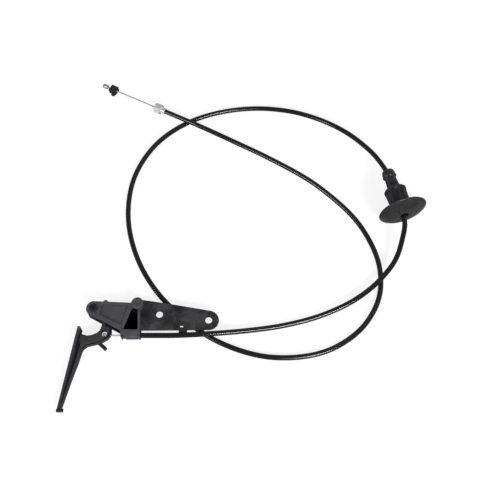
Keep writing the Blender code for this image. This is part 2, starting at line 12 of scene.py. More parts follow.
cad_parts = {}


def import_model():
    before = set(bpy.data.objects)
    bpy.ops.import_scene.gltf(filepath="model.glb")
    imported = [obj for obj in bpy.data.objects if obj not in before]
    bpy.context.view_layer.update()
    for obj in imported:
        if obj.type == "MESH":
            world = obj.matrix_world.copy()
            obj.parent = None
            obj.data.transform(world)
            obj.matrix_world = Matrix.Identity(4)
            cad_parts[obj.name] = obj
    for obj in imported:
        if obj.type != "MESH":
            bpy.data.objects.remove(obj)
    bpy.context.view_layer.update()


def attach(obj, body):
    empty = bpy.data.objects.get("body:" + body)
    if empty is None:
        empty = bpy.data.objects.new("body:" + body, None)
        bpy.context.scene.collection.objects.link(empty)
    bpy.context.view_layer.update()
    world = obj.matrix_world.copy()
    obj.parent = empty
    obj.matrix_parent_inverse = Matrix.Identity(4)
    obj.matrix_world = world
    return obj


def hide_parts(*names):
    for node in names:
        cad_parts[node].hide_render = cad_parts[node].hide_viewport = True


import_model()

bl_info = {
    "name": "Hood Release Cable",
    "version": (1, 0, 0),
    "blender": (4, 5, 0),
    "location": "View3D > Sidebar > Release Cable",
    "description": "Models and finishes the pieces of a hood release cable",
    "category": "Object",
}

MM = 0.001

# The lever end: pivot, plane of the wire, and the places that its pieces share
PIVOT = (-45.1, 42.5)
MID_Z = 8.0
CABLE_Y = -24.5
RIVET_AT = (40.5, 4.0)
POCKET_AT = (11.4, CABLE_Y)
CHEEK_IN = 4.0
CHEEK_OUT = 6.5
SEAT = (26.3, 44.1)
CAP_ENDS = (27.9, 42.0)
CAP_R = 3.8
PLATE_BACK = -0.4
PLATE_FRONT = 1.1
SCREWS = ((60.6, -4.3), (106.4, -9.9))

# Where the finishes of the lever end change: stains on the bracket (x, y, reach, share), the
# brownish reflection painted on the grip, how near the middle plane lie the lever's webs with
# their painted shade, and the bounds of the painted shade inside the housing
STAINS = ((77.0, 1.0, 10.0, 0.9), (68.0, -7.5, 11.0, 0.7), (51.0, -5.0, 11.0, 0.7))
PAINTED_REFLECTION_AT = (-11.0, -18.9, MID_Z + 5.5)
PAINTED_REFLECTION_REACH = 4.2
PAINTED_REFLECTION_CORE = 1.2
PAINTED_SHADE_WEB_LEVEL = 2.4
PAINTED_SHADE_RIGHT = 42.3
PAINTED_SHADE_LOW = -19.3

# The grommet and the latch end: where each line starts, how it turns and how it dips
GROMMET_AT = (294.3, 91.9, 23.8)
GROMMET_TURN = 104.25
LATCH_AT = (81.0, 213.2, 8.2)
LATCH_TURN = 151.67
LATCH_DIP = 2.81
CONDUIT_END = 29.8
HEXAGON = 10.0

# The conduit's middle line, from the end sleeve to the grommet and round to the ferrule
EXIT = (42.3, CABLE_Y, MID_Z)
ROUTE_IN = (
    (57.6, -24.5, 8.0), (72.6, -24.5, 8.0), (105.1, -23.0, 8.1), (139.6, -19.0, 5.0),
    (176.6, -12.7, 2.7), (212.6, -2.5, 2.8), (247.1, 14.0, 6.2), (269.1, 32.2, 8.2),
    (284.6, 52.0, 11.8), (291.0, 69.6, 17.8), (293.8, 83.2, 22.2),
)
IN_GROMMET = (6.0, 25.0, 44.0)
ROUTE_ROUND = (
    (272.6, 158.2, 22.7), (259.8, 180.0, 16.0), (245.0, 199.0, 9.3), (227.6, 214.0, 4.5),
    (208.2, 224.3, 2.7), (166.6, 233.9, 2.5), (123.6, 231.8, 2.5), (81.1, 217.3, 2.5),
    (48.5, 191.1, 2.5), (27.2, 151.2, 2.5), (22.9, 105.5, 2.5), (33.0, 62.1, 2.5),
    (53.3, 24.9, 2.5), (79.1, -3.0, 2.5), (114.4, -28.2, 2.5), (167.0, -43.8, 2.5),
    (221.2, -35.0, 2.5), (251.8, -11.8, 2.5), (267.7, 18.0, 2.5), (269.8, 46.0, 2.5),
    (257.4, 85.9, 2.5), (217.7, 134.1, 2.5), (165.6, 170.6, 2.5), (128.0, 191.1, 3.6),
)
TO_FERRULE = (-1.0, 9.0, CONDUIT_END)

# How finely the conduit and the wires are drawn, and the strands laid round a wire's core
STEPS_PER_SPAN = 32
STEPS_PER_RIB = 5
PATH_STEP = 10
WIRE_STRANDS = 12
STRAND_SHARE = 0.2056
STEPS_PER_LAY = 14

# Colours that aren't a setting, and the span over which a spot's mask is drawn
DUST = (0.20, 0.20, 0.21)
REFLECTED_BROWN = (0.175, 0.103, 0.074)
SCUFFED_STEEL = (0.10, 0.10, 0.11)
CONDUIT_DUST = (0.045, 0.044, 0.042)
RUBBER_BLOOM = (0.07, 0.07, 0.072)
BARE_SPOTS = (0.17, 0.17, 0.175)
CLIP_BLACK = (0.018, 0.02, 0.021)
WIRE_GREY = (0.60, 0.61, 0.62)
STEEL_GREY = (0.062, 0.061, 0.066)
OILED_BLACK = (0.008, 0.008, 0.009)
SPOT_SPAN = 40.0

# The studio, in metres: camera, lamps (name, power setting, size, place), floor and surroundings
CAMERA_AT = (0.09955, -0.2174, 0.6696)
AIM = (0.1, 0.1, 0.0)
LAMPS = (
    ("key_lamp", "key_power", (0.52, 0.20), (0.66, -1.06, 0.94)),
    ("side_lamp", "side_power", (0.60, 0.24), (-1.10, -0.65, 0.75)),
    ("fill_lamp", "fill_power", (1.0, 1.0), (0.75, 0.6, 1.5)),
)
FLOOR_SIZE = 12.0
FLOOR_AT = (0.1, 0.1, -0.00005)
PAPER_SEEN = 0.30
PAPER_GLOW = 0.80
PAPER_REFLECTED = 0.28
TENT_RISE = 0.30


# Settings
class ReleaseCableSizes(bpy.types.PropertyGroup):
    conduit_diameter: bpy.props.FloatProperty(
        name="Conduit diameter", description="Over the crests of the ribs",
        default=0.005, min=0.003, max=0.008, precision=4, subtype="DISTANCE", unit="LENGTH")
    rib_pitch: bpy.props.FloatProperty(
        name="Rib pitch", description="From one rib of the conduit to the next",
        default=0.00215, min=0.001, max=0.01, precision=5, subtype="DISTANCE", unit="LENGTH")
    rib_depth: bpy.props.FloatProperty(
        name="Rib depth", description="How far the conduit narrows between two ribs",
        default=0.00009, min=0.0, max=0.0005, precision=5, subtype="DISTANCE", unit="LENGTH")
    wire_diameter: bpy.props.FloatProperty(
        name="Wire diameter", description="Over all the strands of the inner wire",
        default=0.0015, min=0.001, max=0.003, precision=4, subtype="DISTANCE", unit="LENGTH")
    strand_lay: bpy.props.FloatProperty(
        name="Strand lay", description="Length in which a strand goes once round the wire",
        default=0.0095, min=0.004, max=0.03, precision=4, subtype="DISTANCE", unit="LENGTH")


class ReleaseCableColours(bpy.types.PropertyGroup):
    lever: bpy.props.FloatVectorProperty(
        name="Lever", description="Black moulded plastic of the lever",
        subtype="COLOR", size=3, min=0.0, max=1.0, default=(0.0350, 0.0340, 0.0395))
    housing: bpy.props.FloatVectorProperty(
        name="Housing", description="Grey-black moulded plastic of the housing",
        subtype="COLOR", size=3, min=0.0, max=1.0, default=(0.060, 0.058, 0.069))
    bracket: bpy.props.FloatVectorProperty(
        name="Bracket", description="Dark coat on the steel bracket",
        subtype="COLOR", size=3, min=0.0, max=1.0, default=(0.030, 0.0285, 0.0355))
    conduit: bpy.props.FloatVectorProperty(
        name="Conduit", description="Black jacket of the conduit",
        subtype="COLOR", size=3, min=0.0, max=1.0, default=(0.0030, 0.0030, 0.0040))
    rubber: bpy.props.FloatVectorProperty(
        name="Grommet", description="Black rubber of the grommet",
        subtype="COLOR", size=3, min=0.0, max=1.0, default=(0.0155, 0.0150, 0.0180))
    plating: bpy.props.FloatVectorProperty(
        name="Plating", description="Bright zinc on the ferrule and the nipples",
        subtype="COLOR", size=3, min=0.0, max=1.0, default=(0.86, 0.89, 0.91))


class ReleaseCableStudio(bpy.types.PropertyGroup):
    lens: bpy.props.FloatProperty(
        name="Lens", description="Focal length on a 36 mm sensor",
        default=54.72, min=20.0, max=200.0, subtype="DISTANCE_CAMERA")
    tilt: bpy.props.FloatProperty(
        name="Tilt", description="How far the camera leans from looking straight down",
        default=math.radians(26.0), min=0.0, max=math.pi / 2, subtype="ANGLE", unit="ROTATION")
    key_power: bpy.props.FloatProperty(
        name="Key lamp", description="Power of the main lamp, low in front",
        default=18.0, min=0.0, max=200.0, subtype="POWER", unit="POWER")
    side_power: bpy.props.FloatProperty(
        name="Side lamp", description="Power of the lamp on the lever's side",
        default=8.5, min=0.0, max=200.0, subtype="POWER", unit="POWER")
    fill_power: bpy.props.FloatProperty(
        name="Fill lamp", description="Power of the lamp on the other side",
        default=1.2, min=0.0, max=200.0, subtype="POWER", unit="POWER")
    sky: bpy.props.FloatProperty(
        name="Sky", description="Strength of the even light from all round",
        default=0.34, min=0.0, max=2.0, subtype="FACTOR")
    ceiling: bpy.props.FloatProperty(
        name="Ceiling", description="How bright the tent's top is in reflections",
        default=0.20, min=0.0, max=1.0, subtype="FACTOR")


# Modelling
class Editing:
    """Edit mode on one piece, with all of it selected and nothing else."""

    def __init__(self, piece):
        self.piece = piece

    def __enter__(self):
        bpy.ops.object.select_all(action="DESELECT")
        self.piece.select_set(True)
        bpy.context.view_layer.objects.active = self.piece
        bpy.ops.object.mode_set(mode="EDIT")
        bpy.ops.mesh.select_all(action="SELECT")

    def __exit__(self, *_):
        bpy.ops.object.mode_set(mode="OBJECT")


def begin(name, count, filled):
    """A ring of vertices to be moved on to an outline or a profile."""
    bpy.ops.object.select_all(action="DESELECT")
    bpy.ops.mesh.primitive_circle_add(vertices=count, radius=MM,
                                      fill_type="NGON" if filled else "NOTHING")
    piece = bpy.context.object
    piece.name = piece.data.name = name
    return piece


def round_edges(piece, width, steps, wanted):
    """Bevel the edges whose two ends pass a test of their places."""
    with Editing(piece):
        bpy.ops.mesh.select_all(action="DESELECT")
        bpy.ops.mesh.select_mode(type="EDGE")
    verts = piece.data.vertices
    for edge in piece.data.edges:
        first, second = (verts[i].co for i in edge.vertices)
        edge.select = wanted(first, second)
    bpy.context.view_layer.objects.active = piece
    bpy.ops.object.mode_set(mode="EDIT")
    bpy.ops.mesh.bevel(offset=width * MM, segments=steps, affect="EDGES")
    bpy.ops.mesh.select_mode(type="VERT")
    bpy.ops.object.mode_set(mode="OBJECT")


def level(first, second):
    """Whether an edge lies in the plane of a slab's rim."""
    return abs(first.z - second.z) < 1e-7


def slab(name, outline, low, high, rim=0.0, steps=3, thin=None):
    """A flat outline drawn up from one height to another, with rounded rims. A thinned one
    shrinks about its middle plane, evenly from one y down to another."""
    piece = begin(name, len(outline), True)
    for vert, (x, y) in zip(piece.data.vertices, outline):
        vert.co = (x * MM, y * MM, low * MM)
    with Editing(piece):
        rise = (0, 0, (high - low) * MM)
        bpy.ops.mesh.extrude_region_move(TRANSFORM_OT_translate={"value": rise})
        bpy.ops.mesh.select_all(action="SELECT")
        bpy.ops.mesh.normals_make_consistent(inside=False)
    if rim:
        round_edges(piece, rim, steps, level)
    if thin:
        start, end, share = thin
        for vert in piece.data.vertices:
            done = max(0.0, (vert.co.y / MM - start) / (end - start))
            vert.co.z *= 1 + (share - 1) * done
    return piece


def block(name, x, y, z, rim=0.0, steps=2):
    """A box between two values on each axis, with all its edges rounded."""
    outline = [(x[0], y[0]), (x[1], y[0]), (x[1], y[1]), (x[0], y[1])]
    piece = slab(name, outline, z[0], z[1])
    if rim:
        round_edges(piece, rim, steps, lambda first, second: True)
    return piece


def spun(name, profile, steps=48):
    """A closed profile of (along, radius) points spun about X."""
    piece = begin(name, len(profile), False)
    for vert, (along, radius) in zip(piece.data.vertices, profile):
        vert.co = (along * MM, radius * MM, 0)
    with Editing(piece):
        bpy.ops.mesh.spin(steps=steps, angle=math.tau, center=(0, 0, 0), axis=(1, 0, 0),
                          use_auto_merge=True)
        bpy.ops.mesh.select_all(action="SELECT")
        bpy.ops.mesh.remove_doubles(threshold=2e-7)
        bpy.ops.mesh.dissolve_degenerate(threshold=1e-7)
        bpy.ops.mesh.delete_loose()
        bpy.ops.mesh.select_all(action="SELECT")
        bpy.ops.mesh.normals_make_consistent(inside=False)
    return piece


def stood(piece, x, y):
    """A spun piece turned upright at a point of the lever end."""
    piece.data.transform(Matrix.Translation((x * MM, y * MM, 0))
                         @ Matrix.Rotation(-math.pi / 2, 4, "Y"))
    return piece


def rod(name, radius, x, y, low, high, steps=48):
    """An upright round bar."""
    profile = ((low, 0), (low, radius), (high, radius), (high, 0))
    return stood(spun(name, profile, steps), x, y)


def bar_along(name, radius, start, end, y=0.0, steps=32):
    """A round bar along X."""
    piece = spun(name, ((start, 0), (start, radius), (end, radius), (end, 0)), steps)
    piece.data.transform(Matrix.Translation((0, y * MM, 0)))
    return piece


def slab_along(name, section, start, end):
    """A section of (height, y) points drawn along X."""
    piece = slab(name, section, start, end)
    piece.data.transform(Matrix(((0, 0, 1, 0), (0, 1, 0, 0), (1, 0, 0, 0), (0, 0, 0, 1))))
    piece.data.flip_normals()
    return piece


def combine(piece, tool, operation):
    """Join a tool to a piece, or cut the piece with it, and put the tool away."""
    bpy.ops.object.select_all(action="DESELECT")
    bpy.context.view_layer.objects.active = piece
    step = piece.modifiers.new(tool.name, "BOOLEAN")
    step.operation = operation
    step.solver = "EXACT"
    step.object = tool
    bpy.ops.object.modifier_apply(modifier=step.name)
    bpy.data.objects.remove(tool)


def join(piece, *tools):
    for tool in tools:
        combine(piece, tool, "UNION")


def cut(piece, *tools):
    for tool in tools:
        combine(piece, tool, "DIFFERENCE")


def arc(cx, cy, r, start, end, steps):
    """Points on an arc, from one angle to another in degrees."""
    turns = [math.radians(start + (end - start) * i / steps) for i in range(steps + 1)]
    return [(cx + r * math.cos(a), cy + r * math.sin(a)) for a in turns]


def rounded(corners, steps=6):
    """An outline whose corners (x, y, radius) are rounded."""
    points = []
    count = len(corners)
    for i, (x, y, r) in enumerate(corners):
        here = Vector((x, y))
        if r <= 0:
            points.append((x, y))
            continue
        before = (Vector(corners[i - 1][:2]) - here).normalized()
        after = (Vector(corners[(i + 1) % count][:2]) - here).normalized()
        half = before.angle(after) / 2
        centre = here + (before + after).normalized() * (r / math.sin(half))
        first = here + before * (r / math.tan(half)) - centre
        last = here + after * (r / math.tan(half)) - centre
        turn = first.angle_signed(last)
        for k in range(steps + 1):
            at = centre + Matrix.Rotation(-turn * k / steps, 2) @ first
            points.append((at.x, at.y))
    return points


def softened(profile, radius, steps=4):
    """A profile whose corners are rounded as far as its edges allow."""
    corners = []
    count = len(profile)
    for i, (x, y) in enumerate(profile):
        here = Vector((x, y))
        before = Vector(profile[i - 1]) - here
        after = Vector(profile[(i + 1) % count]) - here
        angle = before.angle(after)
        room = min(before.length, after.length) * 0.45 * math.tan(angle / 2)
        # A corner on the axis, or one that hardly turns, stays as it is
        flat = angle > math.radians(174) or y < 0.01
        corners.append((x, y, 0 if flat else min(radius, room)))
    return rounded(corners, steps)


def world(x, y, z):
    """A point of the lever end, in metres from the origin."""
    return Vector((PIVOT[0] + x, PIVOT[1] + y, z)) * MM


def second_finish(piece, finish, wanted):
    """Give the faces that pass a test another material."""
    piece.data.materials.append(finish)
    for face in piece.data.polygons:
        if wanted(face):
            face.material_index = 1


def set_down(piece, place=(0, 0, MID_Z), turn=0.0, dip=0.0):
    """Move a piece's mesh to its place, so that its object stays at the origin."""
    where = Matrix.Translation(world(*place))
    where @= Matrix.Rotation(math.radians(turn), 4, "Z")
    where @= Matrix.Rotation(math.radians(dip), 4, "Y")
    piece.data.transform(where)
    return piece


def dress(piece, body, finish, node, angle=32):
    """Shade a finished piece, give it its material, and let it ride and replace its node."""
    bpy.ops.object.select_all(action="DESELECT")
    piece.select_set(True)
    bpy.context.view_layer.objects.active = piece
    bpy.ops.object.shade_smooth_by_angle(angle=math.radians(angle))
    piece.data.materials.clear()
    piece.data.materials.append(finish)
    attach(piece, body)
    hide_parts(node)
    return piece


# Finishes
class Field:
    """A socket that Python's operators work on by adding Math nodes."""

    def __init__(self, nodes, socket):
        self.nodes = nodes
        self.socket = socket

    def maths(self, operation, *values):
        sockets = dict(enumerate(values))
        return self.nodes.node("ShaderNodeMath", {"operation": operation}, sockets)

    def __add__(self, other):
        return self.maths("ADD", self, other)

    def __radd__(self, other):
        return self.maths("ADD", other, self)

    def __sub__(self, other):
        return self.maths("SUBTRACT", self, other)

    def __rsub__(self, other):
        return self.maths("SUBTRACT", other, self)

    def __mul__(self, other):
        return self.maths("MULTIPLY", self, other)

    def __rmul__(self, other):
        return self.maths("MULTIPLY", other, self)


class Nodes:
    """The nodes of a material or a world, and one way to add any of them."""

    def __init__(self, owner):
        owner.use_nodes = True
        self.tree = owner.node_tree

    def node(self, kind, settings=None, sockets=None, out=0):
        """A new node with its settings, then its sockets' values or links, as a Field."""
        made = self.tree.nodes.new(kind)
        for key, value in (settings or {}).items():
            if key == "stops":
                ramp = made.color_ramp.elements
                ramp[0].position, ramp[1].position = value
                ramp[0].color, ramp[1].color = (0, 0, 0, 1), (1, 1, 1, 1)
            else:
                setattr(made, key, value)
        for key, value in (sockets or {}).items():
            if isinstance(value, Field):
                self.tree.links.new(value.socket, made.inputs[key])
            else:
                made.inputs[key].default_value = value
        return Field(self, made.outputs[out])

    def lead(self, field, name, socket):
        """Link a field to a node that was there from the start."""
        self.tree.links.new(field.socket, self.tree.nodes[name].inputs[socket])


class Finish(Nodes):
    """A material being made: its shader, and the patterns that its looks are mixed from."""

    def __init__(self, name, **constants):
        self.material = bpy.data.materials.new(name)
        super().__init__(self.material)
        self.shader = self.tree.nodes["Principled BSDF"]
        for socket, value in constants.items():
            self.shader.inputs[socket.replace("_", " ")].default_value = value
        self.place = self.node("ShaderNodeTexCoord", out="Object")

    def noise(self, scale, detail=3.0, roughness=0.55, stretch=None, distortion=0.0):
        """Noise about 0.5, on the object's own place or a stretched one."""
        where = self.place
        if stretch:
            where = self.node("ShaderNodeMapping", None, {"Vector": where, "Scale": stretch})
        return self.node("ShaderNodeTexNoise", None, {
            "Vector": where, "Scale": scale, "Detail": detail, "Roughness": roughness,
            "Distortion": distortion})

    def mask(self, value, low, high):
        """0 below one value and 1 above the other."""
        return self.node("ShaderNodeValToRGB", {"stops": (low, high)}, {0: value})

    def near(self, point, reach, core, ragged):
        """1 within a core round a point, and 0 past a ragged reach, both in millimetres."""
        away = self.node("ShaderNodeVectorMath", {"operation": "DISTANCE"},
                         {0: self.place, 1: tuple(point)}, out="Value")
        away = away * (1 / MM / SPOT_SPAN) + (ragged - 0.5) * 0.35
        return 1.0 - self.mask(away, core / SPOT_SPAN, reach / SPOT_SPAN)

    def blend(self, share, first, second):
        """A colour between two others."""
        colours = {0: share, 6: first, 7: second}
        for key in (6, 7):
            if not isinstance(colours[key], Field):
                colours[key] = (*colours[key][:3], 1.0)
        return self.node("ShaderNodeMix", {"data_type": "RGBA"}, colours, out=2)

    def feed(self, socket, value):
        """Let a field drive a socket of the shader."""
        self.lead(value, "Principled BSDF", socket)

    def bump(self, height, distance):
        """Raise the surface by a height, whose 1 is a distance in millimetres."""
        self.feed("Normal", self.node("ShaderNodeBump", None, {
            "Height": height, "Distance": distance * MM, "Strength": 1.0}))


def scaled(colour, share):
    """A lighter or darker colour."""
    return tuple(min(1.0, c * share) for c in colour)


def moulded_plastic(name, colour, gloss, grain, dust, index=1.45, painted_reflection=None):
    """Filled nylon: fine grain, faint flow marks and scuffs, and specks of pale dust. One with a
    painted reflection has a brownish spot painted where a reflection falls, given as its point,
    reach and core."""
    made = Finish(name, Metallic=0.0, IOR=index)
    grains = made.noise(2400.0, 2.0)
    flow = made.noise(55.0, 4.0, 0.6, distortion=0.6)
    scuffs = made.mask(made.noise(150.0, 6.0, 0.72, stretch=(1.0, 3.2, 1.0)), 0.52, 0.74)
    speck = made.mask(made.noise(900.0, 2.0, 0.5), 0.66, 0.76)
    base = made.blend(flow, scaled(colour, 0.72), scaled(colour, 1.32))
    base = made.blend(scuffs * 0.45, base, scaled(colour, 1.9))
    base = made.blend(speck * dust, base, DUST)
    if painted_reflection:
        # A brownish reflection painted on the grip's tip
        base = made.blend(made.near(*painted_reflection, flow) * 0.85, base, REFLECTED_BROWN)
    made.feed("Base Color", base)
    made.feed("Roughness", gloss + 0.10 * (flow - 0.5) + 0.14 * scuffs + 0.05 * grains)
    made.bump(grains * grain + flow * 0.6 * grain + scuffs * -0.25 * grain, 0.05)
    return made.material


def bracket_coat(name, colour):
    """Thin dip coat on stamped steel: blotches, soaked stains, rubs and fine orange peel."""
    made = Finish(name, Metallic=0.0, IOR=1.45, Coat_Roughness=0.28)
    blotch = made.noise(75.0, 5.0, 0.68, distortion=0.8)
    cloud = made.noise(24.0, 3.0, 0.5)
    peel = made.noise(900.0, 2.0)
    rubs = made.mask(made.noise(210.0, 5.0, 0.75, stretch=(0.5, 2.4, 1.0)), 0.60, 0.74)
    base = made.blend(made.mask(blotch, 0.38, 0.60), scaled(colour, 0.26), scaled(colour, 1.5))
    base = made.blend(made.mask(cloud, 0.50, 0.70) * 0.55, base, scaled(colour, 1.9))
    for x, y, reach, share in STAINS:
        stain = made.near(world(x, y, MID_Z + PLATE_FRONT), reach, reach / 3, blotch)
        base = made.blend(stain * share, base, scaled(colour, 0.22))
    base = made.blend(rubs * 0.22, base, SCUFFED_STEEL)
    made.feed("Base Color", base)
    made.feed("Roughness", 0.36 + 0.22 * blotch + 0.12 * rubs)
    made.feed("Coat Weight", 0.10 + 0.20 * cloud)
    made.bump(peel * 0.5 + blotch * 0.8, 0.05)
    return made.material


def conduit_jacket(name, colour):
    """Glossy extruded jacket, a little dusty and duller between the ribs."""
    made = Finish(name, Metallic=0.0, IOR=1.60)
    crest = made.node("ShaderNodeAttribute", {"attribute_name": "rib"}, out="Fac")
    dust = made.noise(60.0, 4.0, 0.6)
    grain = made.noise(1500.0, 2.0)
    valley = 1.0 - crest
    base = made.blend(dust, scaled(colour, 0.7), scaled(colour, 1.5))
    base = made.blend(valley * 0.15 * dust, base, CONDUIT_DUST)
    made.feed("Base Color", base)
    made.feed("Roughness", 0.07 + 0.12 * valley + 0.03 * (dust - 0.5))
    made.bump(grain, 0.004)
    return made.material


def moulded_rubber(name, colour):
    """Satin rubber with a bloom, fine pores and a softly uneven skin."""
    made = Finish(name, Metallic=0.0, IOR=1.46, Sheen_Weight=0.05, Sheen_Roughness=0.6)
    bloom = made.noise(85.0, 5.0, 0.62, distortion=0.5)
    pores = made.noise(1900.0, 3.0)
    waves = made.noise(160.0, 2.0)
    base = made.blend(made.mask(bloom, 0.36, 0.70), scaled(colour, 0.72), scaled(colour, 1.7))
    base = made.blend(made.mask(pores, 0.62, 0.75) * 0.30, base, RUBBER_BLOOM)
    made.feed("Base Color", base)
    made.feed("Roughness", 0.17 + 0.14 * bloom + 0.06 * pores)
    made.bump(pores * 0.5 + waves * 1.2, 0.06)
    return made.material


def plated_metal(name, colour, roughness, tarnish, metallic=0.6):
    """Bright plating over turned steel: tool marks round the axis, faint clouds and nicks. A
    frosted one is less metallic, because its crystals scatter the light."""
    made = Finish(name, Specular_IOR_Level=0.5)
    clouds = made.noise(220.0, 4.0, 0.6)
    marks = made.noise(2600.0, 2.0, 0.5, stretch=(1.0, 0.35, 0.35))
    nicks = made.mask(made.noise(700.0, 3.0, 0.7), 0.64, 0.72)
    base = made.blend(made.mask(clouds, 0.35, 0.75) * tarnish, colour, scaled(colour, 0.55))
    base = made.blend(nicks * 0.30, base, scaled(colour, 0.40))
    made.feed("Base Color", base)
    made.feed("Metallic", metallic + 0.2 * (clouds - 0.5))
    made.feed("Roughness", roughness + 0.12 * clouds + 0.12 * nicks)
    made.bump(marks * 0.6 - nicks * 0.8, 0.015)
    return made.material


def blackened_steel(name, colour, worn=0.5):
    """Phosphated or oiled head: dark and clouded, with paler rubbed spots."""
    made = Finish(name, IOR=1.6)
    spots = made.mask(made.noise(520.0, 5.0, 0.72), 0.50, 0.68)
    clouds = made.noise(130.0, 3.0)
    base = made.blend(clouds, scaled(colour, 0.75), scaled(colour, 1.35))
    base = made.blend(spots * worn, base, BARE_SPOTS)
    made.feed("Base Color", base)
    made.feed("Metallic", 0.25 + worn * spots)
    made.feed("Roughness", 0.42 + 0.16 * clouds)
    made.bump(spots * 0.6 + clouds, 0.03)
    return made.material


FINISHES = {}


def prepare_finishes(colours):
    """The finishes by name, made once."""
    if FINISHES:
        return FINISHES
    # Where a brownish reflection is painted on the grip's tip
    worn = (world(*PAINTED_REFLECTION_AT), PAINTED_REFLECTION_REACH, PAINTED_REFLECTION_CORE)
    # A near-black copy of the housing's plastic: painted shade for the inside of the window
    painted_shade = scaled(colours.housing, 0.03)
    FINISHES.update(
        lever=moulded_plastic("lever_plastic", colours.lever, 0.30, 0.8, 0.10, painted_reflection=worn),
        housing=moulded_plastic("housing_plastic", colours.housing, 0.36, 1.0, 0.22),
        # The lever's webs get a darker copy of its plastic: painted shade in its recesses
        web=moulded_plastic("shaded_plastic", scaled(colours.lever, 0.20), 0.42, 0.8, 0.05),
        # Painted shade for the faces between the housing's cheeks
        inside=moulded_plastic("unlit_plastic", painted_shade, 0.8, 1.0, 0.0, index=1.1),
        clip=moulded_plastic("clip_plastic", CLIP_BLACK, 0.40, 1.0, 0.2),
        bracket=bracket_coat("bracket_coat", colours.bracket),
        conduit=conduit_jacket("conduit_jacket", colours.conduit),
        rubber=moulded_rubber("grommet_rubber", colours.rubber),
        zinc=plated_metal("bright_zinc", colours.plating, 0.26, 0.45, 0.55),
        nipple=plated_metal("cast_zinc", scaled(colours.plating, 0.66), 0.30, 0.7),
        wire=plated_metal("drawn_steel", WIRE_GREY, 0.50, 0.3, 0.5),
        steel=blackened_steel("phosphated_steel", STEEL_GREY),
        pin=blackened_steel("oiled_steel", OILED_BLACK, 0.1),
    )
    return FINISHES


# The cable's line
def on_line(start, turn, dip, along):
    """A point on the straight line of the grommet or of the latch end."""
    about = Matrix.Rotation(math.radians(turn), 3, "Z")
    about @= Matrix.Rotation(math.radians(dip), 3, "Y")
    return Vector(start) + about @ Vector((along, 0, 0))


def smooth_line(points, step):
    """Points a step apart on a smooth curve through the given ones, and its length."""
    spans = [(b - a).length for a, b in zip(points, points[1:])]
    slopes = [(b - a) / s for a, b, s in zip(points, points[1:], spans)]
    tangents = [slopes[0]]
    for i in range(1, len(points) - 1):
        share = spans[i - 1] + spans[i]
        tangents.append((slopes[i - 1] * spans[i] + slopes[i] * spans[i - 1]) / share)
    tangents.append(slopes[-1])
    fine = []
    for i, span in enumerate(spans):
        for k in range(STEPS_PER_SPAN):
            t = k / STEPS_PER_SPAN
            fine.append((2 * t ** 3 - 3 * t ** 2 + 1) * points[i]
                        + (t ** 3 - 2 * t ** 2 + t) * span * tangents[i]
                        + (3 * t ** 2 - 2 * t ** 3) * points[i + 1]
                        + (t ** 3 - t ** 2) * span * tangents[i + 1])
    fine.append(points[-1])
    total = sum((b - a).length for a, b in zip(fine, fine[1:]))
    count = round(total / step)
    even = [fine[0]]
    walked = 0.0
    for a, b in zip(fine, fine[1:]):
        length = (b - a).length
        while walked + length >= total / count * len(even) and len(even) < count:
            even.append(a.lerp(b, (total / count * len(even) - walked) / length))
        walked += length
    even.append(fine[-1])
    return even, total


def conduit_line(step, radius):
    """The conduit's middle line in metres, never lower than its own radius, and its length."""
    knots = [Vector(EXIT)] + [Vector(p) for p in ROUTE_IN]
    knots += [on_line(GROMMET_AT, GROMMET_TURN, 0, along) for along in IN_GROMMET]
    knots += [Vector(p) for p in ROUTE_ROUND]
    knots += [on_line(LATCH_AT, LATCH_TURN, LATCH_DIP, along) for along in TO_FERRULE]
    points, total = smooth_line(knots, step / MM)
    return [world(p.x, p.y, max(p.z, radius / MM)) for p in points], total * MM


def tube(name, line, radii, sides, ribs=None):
    """A closed tube round a line, with a radius for each of its points. A ribbed one keeps how
    far each point is up a rib, for its finish."""
    verts, faces = [], []
    ahead = (line[1] - line[0]).normalized()
    side = ahead.orthogonal().normalized()
    for i, here in enumerate(line):
        back = line[max(i - 1, 0)]
        front = line[min(i + 1, len(line) - 1)]
        turned = (front - back).normalized()
        side = (ahead.rotation_difference(turned) @ side).normalized()
        ahead = turned
        up = ahead.cross(side)
        for k in range(sides):
            a = math.tau * k / sides
            verts.append(here + radii[i] * (math.cos(a) * side + math.sin(a) * up))
    rings = len(line)
    for i in range(rings - 1):
        for k in range(sides):
            n = (k + 1) % sides
            faces.append((i * sides + k, i * sides + n, (i + 1) * sides + n, (i + 1) * sides + k))
    faces.append(tuple(reversed(range(sides))))
    faces.append(tuple((rings - 1) * sides + k for k in range(sides)))
    mesh = bpy.data.meshes.new(name)
    mesh.from_pydata(verts, [], faces)
    mesh.update()
    piece = bpy.data.objects.new(name, mesh)
    bpy.context.scene.collection.objects.link(piece)
    with Editing(piece):
        bpy.ops.mesh.normals_make_consistent(inside=False)
    if ribs:
        layer = mesh.attributes.new("rib", "FLOAT", "POINT")
        for i, rib in enumerate(ribs):
            for k in range(sides):
                layer.data[i * sides + k].value = rib
    return piece


def stranded(name, start, end, radius, lay):
    """Strands laid side by side round a straight core along X, as one piece."""
    strand = radius * STRAND_SHARE
    laid = radius - strand
    count = max(8, round((end - start) * MM / lay * STEPS_PER_LAY))
    pieces = []
    for number in range(WIRE_STRANDS):
        line = []
        for i in range(count + 1):
            along = start * MM + (end - start) * MM * i / count
            a = math.tau * (along / lay + number / WIRE_STRANDS)
            line.append(Vector((along, laid * math.cos(a), laid * math.sin(a))))
        pieces.append(tube(f"{name}_{number}", line, [strand] * len(line), 8))
    core = [Vector((start * MM, 0, 0)), Vector((end * MM, 0, 0))]
    pieces.append(tube(f"{name}_core", core, [laid - strand * 0.7] * 2, 16))
    bpy.ops.object.select_all(action="DESELECT")
    for piece in pieces:
        piece.select_set(True)
    bpy.context.view_layer.objects.active = pieces[0]
    bpy.ops.object.join()
    whole = bpy.context.object
    whole.name = whole.data.name = name
    return whole


